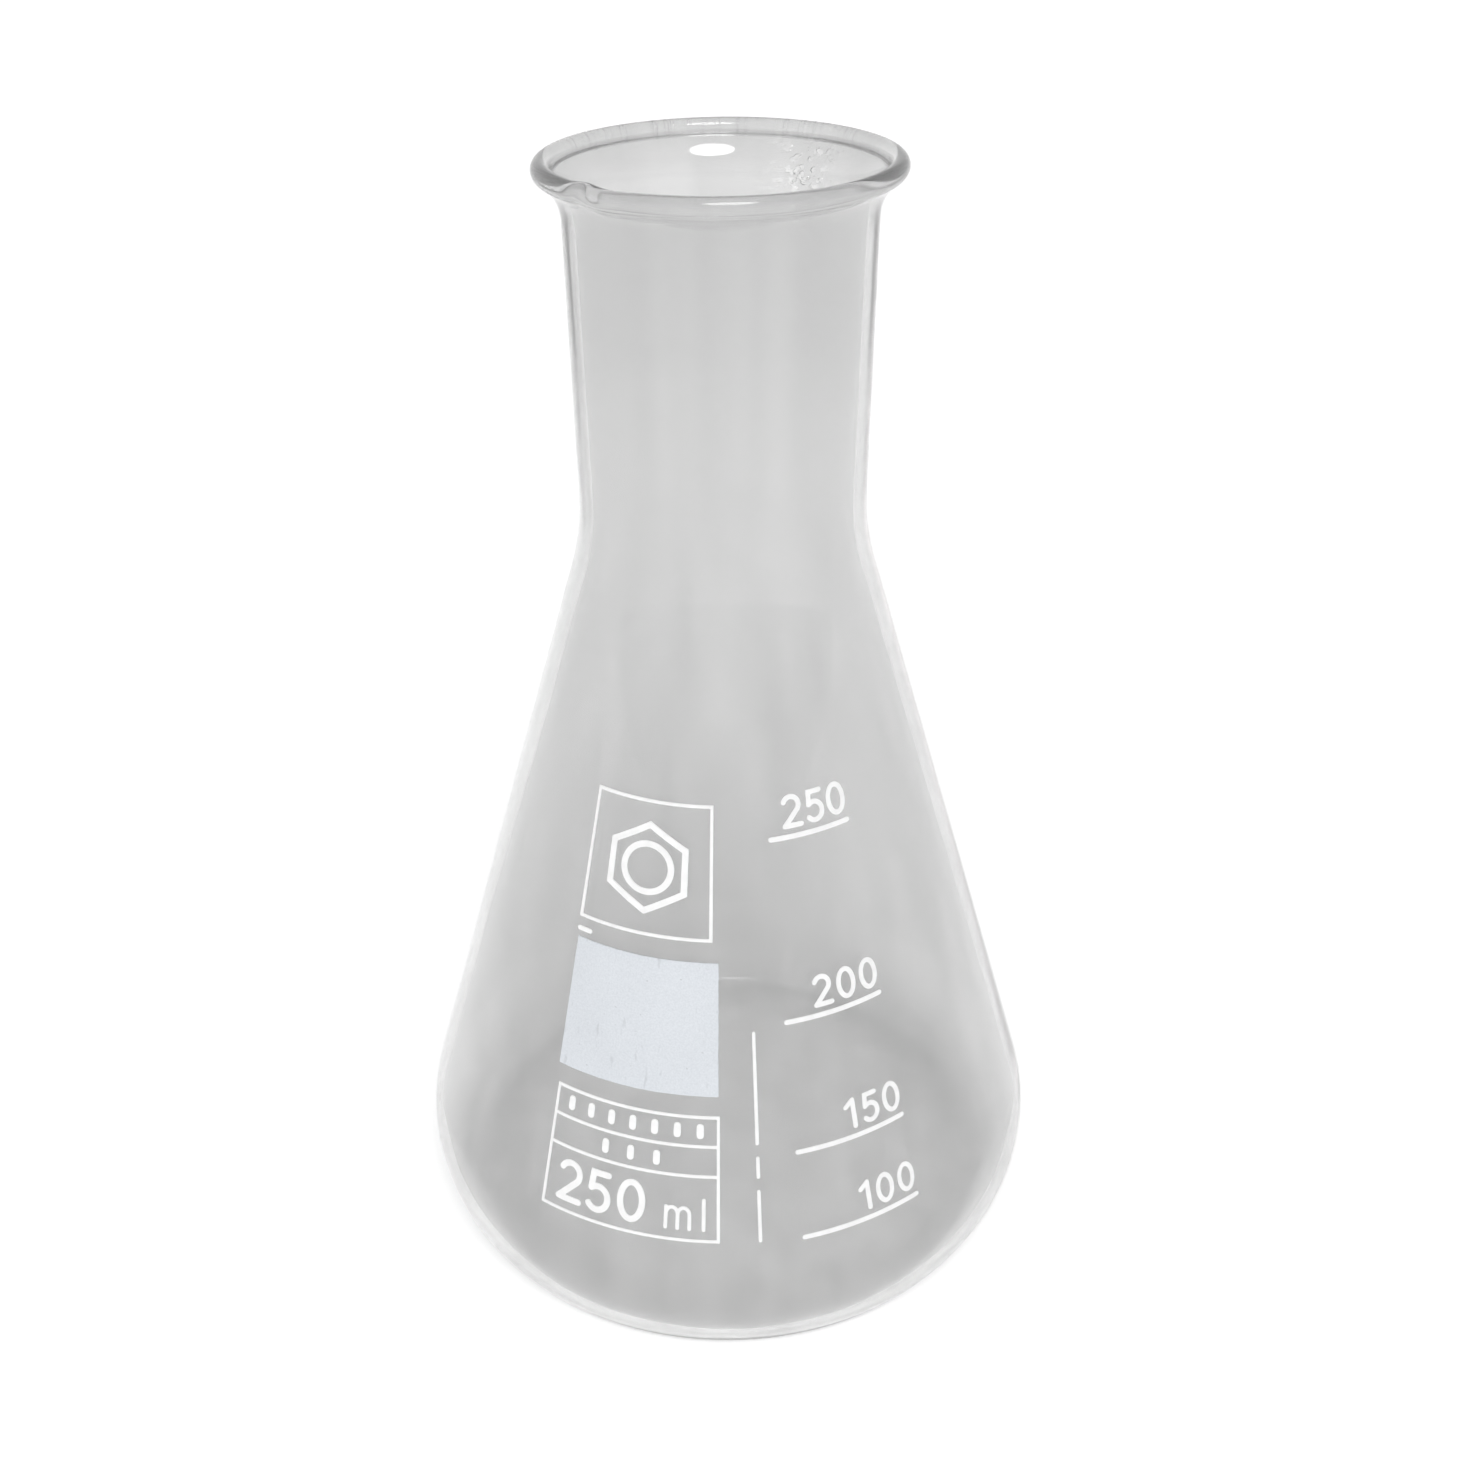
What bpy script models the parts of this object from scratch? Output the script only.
"""A narrow-neck 250 ml Erlenmeyer flask with white enamel graduations.

The flask is one hollow glass body, blown in a single piece. Everything printed on it is a
separate island of fired enamel that stands a little proud of the cone. Metres, +Z up. The
origin is the centre of the base, and the printed side faces -Y.
"""

import math

import bmesh
import bpy
from mathutils import Vector

MM = 0.001

# Outer shape of the glass. Two arcs turn the foot into the cone; angles are those of their normals.
HEIGHT = 144.2 * MM
BODY_RADIUS = 42.5 * MM
FOOT_ARC_RADIUS = 2.3 * MM
SIDE_ARC_RADIUS = 19.2 * MM
ARC_CHANGE = math.radians(-34.0)
CONE_ANGLE = math.radians(16.4)
SHOULDER_RADIUS = 33.0 * MM
NECK_LOW_RADIUS = 17.65 * MM
NECK_LOW_HEIGHT = 111.0 * MM
NECK_HIGH_RADIUS = 18.05 * MM
NECK_HIGH_HEIGHT = 137.0 * MM
FLARE_RADIUS = 5.2 * MM
LIP_RADIUS = 21.15 * MM
LIP_ARC_RADIUS = 1.15 * MM
LIP_ARC_END = math.radians(205.0)

# Thickness of the glass
WALL = 1.5 * MM
BASE_WALL = 1.9 * MM
FOOT_RING_INNER_RADIUS = 26.0 * MM
BASE_HOLLOW = 0.8 * MM
BASE_HOLLOW_POINTS = 4

# Fineness of the meshes
TURN_STEPS = 72
ARC_STEP = math.radians(17.0)
MERGE_DISTANCE = 0.02 * MM
STROKE_STEP = 1.3 * MM
STROKE_ARC_STEP = math.radians(20.0)
PANEL_STEP = 3.0 * MM

# Enamel. Angle 0 faces -Y and angles grow towards +X.
ENAMEL_GAP = 0.12 * MM
ENAMEL_THICKNESS = 0.15 * MM
FRAME_STROKE = 0.42 * MM

# Printed panels: left angle, right angle, low height, high height
EMBLEM_BOX = (-0.649, -0.058, 57.95 * MM, 74.3 * MM)
FIELD_BOX = (-0.641, -0.034, 38.85 * MM, 55.45 * MM)
LABEL_BOX = (-0.630, -0.029, 20.0 * MM, 36.4 * MM)
LABEL_DIVIDERS = (28.6 * MM, 32.45 * MM)

# The small registration dash between the emblem and the marking field
DASH_ANGLE = -0.614
DASH_HEIGHT = 56.5 * MM
DASH_LENGTH = 1.6 * MM
DASH_STROKE = 0.6 * MM

# Graduations: printed number, height and angle of the left end, angle of the right end, digit pitch
GRADUATIONS = (
    ("100", 19.90 * MM, 0.225, 0.640, 3.40 * MM),
    ("150", 31.05 * MM, 0.221, 0.634, 3.30 * MM),
    ("200", 47.60 * MM, 0.211, 0.624, 3.35 * MM),
    ("250", 69.90 * MM, 0.192, 0.605, 3.05 * MM),
)
SCALE_STROKE = 0.64 * MM
SCALE_TILT = math.radians(2.0)
DIGIT_HEIGHT = 4.2 * MM
DIGIT_RISE = 1.0 * MM
DIGIT_INSET = 1.45 * MM

# Capacity lettering in the label: character, angle, height, stroke
CAPACITY_BASELINE = 21.45 * MM
CAPACITY = (
    ("2", "capacity_digit_2", -0.533, 5.9 * MM, 0.86 * MM),
    ("5", "capacity_digit_5", -0.428, 5.9 * MM, 0.86 * MM),
    ("0", "capacity_digit_0", -0.315, 5.9 * MM, 0.86 * MM),
    ("m", "capacity_unit_m", -0.162, 3.3 * MM, 0.48 * MM),
    ("l", "capacity_unit_l", -0.080, 4.5 * MM, 0.48 * MM),
)

# Neutral marks in the label's two upper rows: name, height, count, pitch in radians
MARK_ROWS = (
    ("upper_mark", 34.4 * MM, 7, 0.078),
    ("lower_mark", 30.5 * MM, 3, 0.090),
)
MARK_ROW_CENTRE = -0.329
MARK_HALF_LENGTH = 0.55 * MM
MARK_STROKE = 0.9 * MM

# Neutral bars beside the label, from low height to high height
SIDE_BARS = ((20.2 * MM, 26.6 * MM), (28.5 * MM, 30.9 * MM), (32.8 * MM, 46.7 * MM))
SIDE_BAR_ANGLE = 0.095
SIDE_BAR_STROKE = 0.45 * MM

# The plain emblem: a ring inside a hexagon
EMBLEM_STROKE = 0.80 * MM
HEXAGON_RADIUS = 5.4 * MM
RING_RADIUS = 3.0 * MM


# ---------------------------------------------------------------- profile of the glass


def polar(angle, radius=1.0):
    return Vector((radius * math.cos(angle), radius * math.sin(angle)))


def arc(centre, radius, start, end, step=ARC_STEP):
    """Points from one angle to another, both ends included."""
    count = max(2, math.ceil(abs(end - start) / step))
    return [centre + polar(start + (end - start) * i / count, radius) for i in range(count + 1)]


def crossing(point_a, way_a, point_b, way_b):
    """Where two lines of the profile plane meet."""
    between = point_b - point_a
    return point_a + way_a * (between.cross(way_b) / way_a.cross(way_b))


SIDE_CENTRE = Vector((
    BODY_RADIUS - SIDE_ARC_RADIUS,
    FOOT_ARC_RADIUS - (SIDE_ARC_RADIUS - FOOT_ARC_RADIUS) * math.sin(ARC_CHANGE),
))
FOOT_CENTRE = SIDE_CENTRE + polar(ARC_CHANGE, SIDE_ARC_RADIUS - FOOT_ARC_RADIUS)
CONE_START = SIDE_CENTRE + polar(CONE_ANGLE, SIDE_ARC_RADIUS)
CONE_WAY = polar(CONE_ANGLE + math.pi / 2)
NECK_LOW = Vector((NECK_LOW_RADIUS, NECK_LOW_HEIGHT))
NECK_WAY = (Vector((NECK_HIGH_RADIUS, NECK_HIGH_HEIGHT)) - NECK_LOW).normalized()
NECK_ANGLE = math.atan2(-NECK_WAY.x, NECK_WAY.y)


def shoulder(wall):
    """The concave turn from cone to neck, on a surface that lies wall deep in the glass."""
    corner = crossing(CONE_START, CONE_WAY, NECK_LOW, NECK_WAY)
    cone_end = corner - CONE_WAY * SHOULDER_RADIUS * math.tan((CONE_ANGLE - NECK_ANGLE) / 2)
    centre = cone_end + polar(CONE_ANGLE, SHOULDER_RADIUS)
    return arc(centre, SHOULDER_RADIUS + wall, math.pi + CONE_ANGLE, math.pi + NECK_ANGLE)


LIP_CENTRE = Vector((LIP_RADIUS - LIP_ARC_RADIUS, HEIGHT - LIP_ARC_RADIUS))
LIP_CREASE = LIP_CENTRE + polar(LIP_ARC_END, LIP_ARC_RADIUS)


def flare_centre():
    """Centre of the concave arc that touches the neck line and the lip's round edge."""
    start = NECK_LOW + polar(NECK_ANGLE, FLARE_RADIUS)
    away = start - LIP_CENTRE
    along = away.dot(NECK_WAY)
    reach = FLARE_RADIUS + LIP_ARC_RADIUS
    return start - NECK_WAY * (along + math.sqrt(along**2 - away.length_squared + reach**2))


def heading(way):
    return math.atan2(way.y, way.x)


def outer_profile():
    """The outside, from the foot up and over the lip to the crease inside it."""
    centre = flare_centre()
    flare_end = heading(LIP_CENTRE - centre)
    points = arc(FOOT_CENTRE, FOOT_ARC_RADIUS, -math.pi / 2, ARC_CHANGE)
    points += arc(SIDE_CENTRE, SIDE_ARC_RADIUS, ARC_CHANGE, CONE_ANGLE)[1:]
    points += shoulder(0.0)
    points += arc(centre, FLARE_RADIUS, math.pi + NECK_ANGLE, flare_end)
    points += arc(LIP_CENTRE, LIP_ARC_RADIUS, flare_end - math.pi, LIP_ARC_END)[1:]
    return points


def inner_profile():
    """The inside, from the middle of the floor up to just below the lip's crease."""
    centre = flare_centre()
    to_crease = LIP_CREASE - centre
    lip_wall = to_crease.length - FLARE_RADIUS
    points = [Vector((0.0, BASE_HOLLOW + BASE_WALL)), Vector((FOOT_RING_INNER_RADIUS, BASE_WALL))]
    points += arc(FOOT_CENTRE, FOOT_ARC_RADIUS - WALL, -math.pi / 2, ARC_CHANGE)[1:]
    points += arc(SIDE_CENTRE, SIDE_ARC_RADIUS - WALL, ARC_CHANGE, CONE_ANGLE)[1:]
    points += shoulder(WALL)
    outside = arc(centre, FLARE_RADIUS, math.pi + NECK_ANGLE, heading(to_crease))
    for i, point in enumerate(outside[:-1]):
        wall = WALL + (lip_wall - WALL) * i / (len(outside) - 1)
        points.append(centre + (point - centre) * (1.0 + wall / FLARE_RADIUS))
    return points


def base_profile():
    """The underside, from the inner edge of the flat ring to the middle of the hollow."""
    points = []
    for i in range(BASE_HOLLOW_POINTS, -1, -1):
        share = i / BASE_HOLLOW_POINTS
        points.append(Vector((FOOT_RING_INNER_RADIUS * share, BASE_HOLLOW * (1.0 - share**2))))
    return points


def make_glass():
    """Turns the profile: up the inside, over the lip, down the outside and in under the base."""
    profile = inner_profile() + outer_profile()[::-1] + base_profile()
    mesh = bpy.data.meshes.new("glass_body")
    edges = [(i, i + 1) for i in range(len(profile) - 1)]
    mesh.from_pydata([(point.x, 0.0, point.y) for point in profile], edges, [])
    body = bpy.data.objects.new("glass_body", mesh)
    turn = body.modifiers.new("Turn", "SCREW")
    turn.axis = "Z"
    turn.angle = math.tau
    turn.steps = TURN_STEPS
    turn.render_steps = TURN_STEPS
    turn.use_merge_vertices = True
    turn.merge_threshold = MERGE_DISTANCE
    turn.use_smooth_shade = True
    return body


# ---------------------------------------------------------------- flat prints


def finely(path, closed=False):
    """The same path with no run longer than STROKE_STEP."""
    fine = []
    for start, end in zip(path, path[1:] + path[:1] if closed else path[1:]):
        count = math.ceil((end - start).length / STROKE_STEP)
        fine += [start.lerp(end, i / count) for i in range(count)]
    return fine if closed else fine + [path[-1]]


def sides_of(path, width, closed):
    """The two edges of a stroke, mitred where the path turns."""
    left, right = [], []
    last = len(path) - 1
    for i, point in enumerate(path):
        before = path[i - 1] if closed or i > 0 else point * 2 - path[1]
        after = path[(i + 1) % len(path)] if closed or i < last else point * 2 - path[-2]
        way_in = (point - before).normalized()
        way_on = (after - point).normalized()
        normal = Vector((-way_in.y - way_on.y, way_in.x + way_on.x)).normalized()
        reach = normal * (width / 2 / normal.dot(Vector((-way_in.y, way_in.x))))
        left.append(point + reach)
        right.append(point - reach)
    return left, right


def thicken(flat):
    """Gives a flat bmesh the enamel's thickness and turns it into a mesh."""
    made = bmesh.ops.extrude_face_region(flat, geom=flat.faces[:])
    top = [item for item in made["geom"] if isinstance(item, bmesh.types.BMVert)]
    bmesh.ops.translate(flat, verts=top, vec=(0.0, 0.0, ENAMEL_THICKNESS))
    bmesh.ops.recalc_face_normals(flat, faces=flat.faces[:])
    mesh = bpy.data.meshes.new("print")
    flat.to_mesh(mesh)
    flat.free()
    return mesh


def stroke(path, width, closed=False):
    """A line of even width along a path, with half-round ends unless it closes on itself."""
    path = finely(path, closed)
    left, right = sides_of(path, width, closed)
    flat = bmesh.new()
    rows = [(flat.verts.new(a.to_3d()), flat.verts.new(b.to_3d())) for a, b in zip(left, right)]
    for (a, b), (c, d) in zip(rows, rows[1:] + rows[:1] if closed else rows[1:]):
        flat.faces.new((a, b, d, c))
    if not closed:
        for end, beyond, (first, last) in (
            (path[0], path[1], rows[0]),
            (path[-1], path[-2], rows[-1][::-1]),
        ):
            away = heading(end - beyond)
            round_end = arc(end, width / 2, away - math.pi / 2, away + math.pi / 2, math.pi / 4)
            tips = [flat.verts.new(point.to_3d()) for point in round_end[1:-1]]
            flat.faces.new([first, *tips, last])
    return thicken(flat)


def panel(box, line=None, dividers=()):
    """A panel of the cone, laid flat: all of it, or only its outline and dividers."""
    left, right, low, high = box
    width = (right - left) * cone_radius(low)
    columns = math.ceil(width / PANEL_STEP)
    across = [width * (i / columns - 0.5) for i in range(columns + 1)]
    top = (high - low) / math.cos(CONE_ANGLE)
    bars = [(0.0, top)]
    if line:
        across = sorted([*across, across[0] + line, across[-1] - line])
        cuts = [(cut - low) / math.cos(CONE_ANGLE) for cut in dividers]
        bars = [(0.0, line), *((cut - line / 2, cut + line / 2) for cut in cuts), (top - line, top)]
    up = [level for bar in bars for level in bar]
    flat = bmesh.new()
    grid = [[flat.verts.new((x, y, 0.0)) for x in across] for y in up]
    last = len(across) - 2
    for j, (lower, upper) in enumerate(zip(grid, grid[1:])):
        is_bar = j % 2 == 0
        for i in range(last + 1):
            if is_bar or i in (0, last):
                flat.faces.new((lower[i], lower[i + 1], upper[i + 1], upper[i]))
    return thicken(flat)


def joined(meshes, helpers):
    """One mesh made of flat strokes that overlap."""
    base = bpy.data.objects.new("join_base", meshes[0])
    helpers.objects.link(base)
    for mesh in meshes[1:]:
        added = bpy.data.objects.new("join_added", mesh)
        helpers.objects.link(added)
        union = base.modifiers.new("Union", "BOOLEAN")
        union.operation = "UNION"
        union.object = added
    bpy.context.view_layer.update()
    evaluated = base.evaluated_get(bpy.context.evaluated_depsgraph_get())
    mesh = bpy.data.meshes.new_from_object(evaluated)
    for helper in list(helpers.objects):
        bpy.data.objects.remove(helper, do_unlink=True)
    return mesh


def oval(centre, width, height, start, end):
    """Points on an oval, as a unit arc that is stretched."""
    unit = arc(Vector((0.0, 0.0)), 1.0, start, end, STROKE_ARC_STEP)
    return [centre + Vector((point.x * width / 2, point.y * height / 2)) for point in unit]


def character_paths(character):
    """Centre lines of a character one unit high, with a flag that says if they close."""
    deg = math.radians
    if character == "0":
        return [oval(Vector((0.0, 0.5)), 0.59, 1.0, 0.0, math.tau)[:-1]], True
    if character == "1":
        return [[Vector((0.24, 0.0)), Vector((0.24, 1.0))], [Vector((-0.05, 0.79)), Vector((0.24, 1.0))]], False
    if character == "2":
        bend = oval(Vector((-0.01, 0.71)), 0.56, 0.58, deg(155), deg(-33))
        return [[*bend, Vector((-0.29, 0.0))], [Vector((-0.29, 0.0)), Vector((0.30, 0.0))]], False
    if character == "5":
        hook = [Vector((0.25, 1.0)), Vector((-0.17, 1.0)), Vector((-0.21, 0.57))]
        return [hook, oval(Vector((-0.02, 0.32)), 0.58, 0.64, deg(130), deg(-142))], False
    if character == "m":
        arches = [
            [*oval(Vector((x, 0.64)), 0.54, 0.72, deg(168), 0.0), Vector((x + 0.27, 0.0))]
            for x in (-0.27, 0.27)
        ]
        return [[Vector((-0.54, 0.0)), Vector((-0.54, 1.0))], *arches], False
    return [[Vector((0.0, 0.0)), Vector((0.0, 1.0))]], False


def character_mesh(character, height, width, helpers):
    """A character of this outer height, standing on y = 0, drawn in strokes of this width."""
    paths, closed = character_paths(character)
    size = height - width
    lift = Vector((0.0, width / 2))
    meshes = [stroke([point * size + lift for point in path], width, closed) for path in paths]
    return joined(meshes, helpers) if len(meshes) > 1 else meshes[0]


# ---------------------------------------------------------------- prints on the cone


def on_cone(angle, height, lift):
    """A point that stands lift off the cone's surface point at this angle and height."""
    radius = CONE_START.x - (height - CONE_START.y) * math.tan(CONE_ANGLE)
    radius += lift * math.cos(CONE_ANGLE)
    turned = Vector((math.sin(angle), -math.cos(angle), 0.0)) * radius
    return turned + Vector((0.0, 0.0, height + lift * math.sin(CONE_ANGLE)))


def cone_radius(height):
    return on_cone(math.pi / 2, height, 0.0).x


def wrapped(name, mesh, angle, height, tilt=0.0, offset=(0.0, 0.0)):
    """Bends a flat print onto the cone: x runs round it, y up its slope and z outward."""
    place = on_cone(angle, height, 0.0)
    for vertex in mesh.vertices:
        x, y, lift = vertex.co + Vector((*offset, 0.0))
        across = x * math.cos(tilt) - y * math.sin(tilt)
        up = (x * math.sin(tilt) + y * math.cos(tilt)) * math.cos(CONE_ANGLE)
        vertex.co = on_cone(angle + across / cone_radius(height), height + up, ENAMEL_GAP + lift) - place
    mesh.name = name
    piece = bpy.data.objects.new(name, mesh)
    piece.location = place
    return piece


def make_graduation(text, height, left, right, pitch, helpers):
    """A scale line and its number, which ends near the line's right end."""
    length = (right - left) * cone_radius(height)
    inset = SCALE_STROKE / 2
    line = stroke([Vector((inset, 0.0)), Vector((length - inset, 0.0))], SCALE_STROKE)
    pieces = [wrapped(f"graduation_line_{text}", line, left, height, SCALE_TILT)]
    for i, character in enumerate(text):
        x = length - DIGIT_INSET - pitch * (len(text) - 1 - i)
        digit = character_mesh(character, DIGIT_HEIGHT, SCALE_STROKE, helpers)
        name = f"graduation_{text}_digit_{i + 1}"
        pieces.append(wrapped(name, digit, left, height, SCALE_TILT, (x, DIGIT_RISE)))
    return pieces


def make_panels():
    """The emblem's frame, the label's frame with its dividers, and the marking field."""
    pieces = []
    for name, box, line, dividers in (
        ("emblem_frame", EMBLEM_BOX, FRAME_STROKE, ()),
        ("label_frame", LABEL_BOX, FRAME_STROKE, LABEL_DIVIDERS),
        ("marking_field", FIELD_BOX, None, ()),
    ):
        middle = (box[0] + box[1]) / 2
        pieces.append(wrapped(name, panel(box, line, dividers), middle, box[2]))
    return pieces


def make_emblem():
    left, right, low, high = EMBLEM_BOX
    pieces = []
    hexagon = [polar(math.pi / 6 + math.pi / 3 * i, HEXAGON_RADIUS) for i in range(6)]
    ring = arc(Vector((0.0, 0.0)), RING_RADIUS, 0.0, math.tau, STROKE_ARC_STEP)[:-1]
    for name, path in (("emblem_hexagon", hexagon), ("emblem_ring", ring)):
        mesh = stroke(path, EMBLEM_STROKE, closed=True)
        pieces.append(wrapped(name, mesh, (left + right) / 2, (low + high) / 2))
    return pieces


def make_capacity(helpers):
    return [
        wrapped(name, character_mesh(character, height, width, helpers), angle, CAPACITY_BASELINE)
        for character, name, angle, height, width in CAPACITY
    ]


def make_neutral_marks():
    """Upright dashes and side bars in the places where a maker would print names."""
    upright = [Vector((0.0, -MARK_HALF_LENGTH)), Vector((0.0, MARK_HALF_LENGTH))]
    pieces = []
    for name, height, count, pitch in MARK_ROWS:
        for i in range(count):
            angle = MARK_ROW_CENTRE + pitch * (i - (count - 1) / 2)
            pieces.append(wrapped(f"{name}_{i + 1}", stroke(upright, MARK_STROKE), angle, height))
    for i, (low, high) in enumerate(SIDE_BARS):
        rise = Vector((0.0, (high - low) / math.cos(CONE_ANGLE)))
        bar = stroke([Vector((0.0, 0.0)), rise], SIDE_BAR_STROKE)
        pieces.append(wrapped(f"side_bar_{i + 1}", bar, SIDE_BAR_ANGLE, low))
    half = Vector((DASH_LENGTH / 2, 0.0))
    pieces.append(wrapped("registration_dash", stroke([-half, half], DASH_STROKE), DASH_ANGLE, DASH_HEIGHT))
    return pieces


# ---------------------------------------------------------------- materials and assembly


def make_material(name, color, roughness, transmission=0.0, ior=1.5):
    material = bpy.data.materials.new(name)
    material.use_nodes = True
    shader = material.node_tree.nodes["Principled BSDF"]
    shader.inputs["Base Color"].default_value = (*color, 1.0)
    shader.inputs["Roughness"].default_value = roughness
    shader.inputs["Metallic"].default_value = 0.0
    shader.inputs["Transmission Weight"].default_value = transmission
    shader.inputs["IOR"].default_value = ior
    return material


def add_piece(piece, material, root, collection):
    piece.data.materials.clear()
    piece.data.materials.append(material)
    piece.parent = root
    collection.objects.link(piece)


def main():
    for old in list(bpy.data.objects):
        bpy.data.objects.remove(old, do_unlink=True)
    scene = bpy.context.scene
    parts = bpy.data.collections.new("erlenmeyer_flask")
    helpers = bpy.data.collections.new("joining_helpers")
    scene.collection.children.link(parts)
    scene.collection.children.link(helpers)
    root = bpy.data.objects.new("flask_root", None)
    parts.objects.link(root)

    glass = make_material("borosilicate_glass", (0.82, 0.84, 0.84), 0.03, transmission=1.0, ior=1.47)
    enamel = make_material("white_enamel", (0.95, 0.95, 0.95), 0.35)
    field = make_material("field_enamel", (0.80, 0.84, 0.88), 0.55)

    add_piece(make_glass(), glass, root, parts)
    prints = make_panels() + make_emblem() + make_capacity(helpers) + make_neutral_marks()
    for graduation in GRADUATIONS:
        prints += make_graduation(*graduation, helpers)
    for piece in prints:
        add_piece(piece, field if piece.name == "marking_field" else enamel, root, parts)
    bpy.data.collections.remove(helpers)


main()
